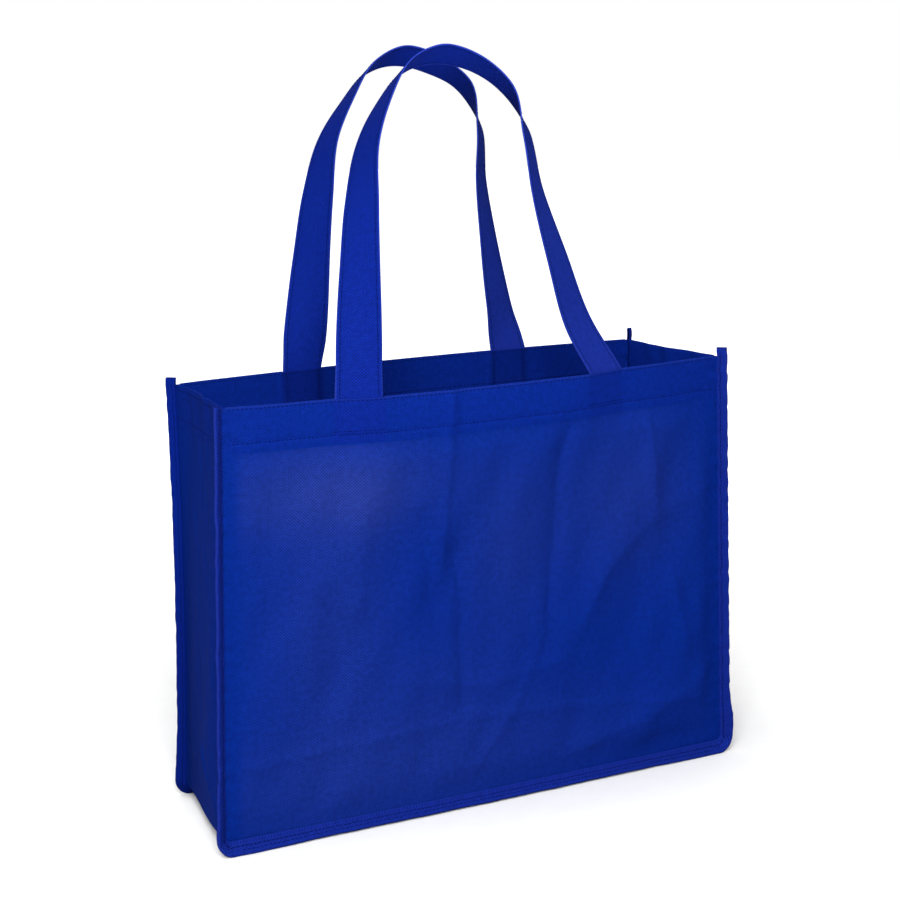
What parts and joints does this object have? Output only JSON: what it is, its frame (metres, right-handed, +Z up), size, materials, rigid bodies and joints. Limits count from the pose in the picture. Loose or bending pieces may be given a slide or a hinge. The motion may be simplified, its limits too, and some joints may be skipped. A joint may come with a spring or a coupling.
{
  "type": "non-woven shopping bag",
  "caption": "Boxy open-top tote sewn from spunbond cloth, with taped outward seams, a turned-in hem and two long folded shoulder handles",
  "frame": {"origin": "centre of the bounding box, at the table the bag stands on", "axes": "+Z up, the longest way through bag and handles; -Y the front panel; +X to the right seen from the front; Y is the shortest way"},
  "size_m": [0.4312, 0.2048, 0.553],
  "materials": {
    "body_cloth": "royal blue spunbond polypropylene, matt, fine diamond bond pattern",
    "binding_tape": "royal blue spunbond tape folded over the seam edges, sewn through",
    "strap_cloth": "royal blue spunbond folded to two layers, sewn along both edges"
  },
  "bodies": {
    "root": {"front_panel": "body_cloth", "back_panel": "body_cloth", "gusset": "body_cloth", "front_binding": "binding_tape", "back_binding": "binding_tape", "front_handle": "strap_cloth", "back_handle": "strap_cloth"}
  },
  "joints": []
}
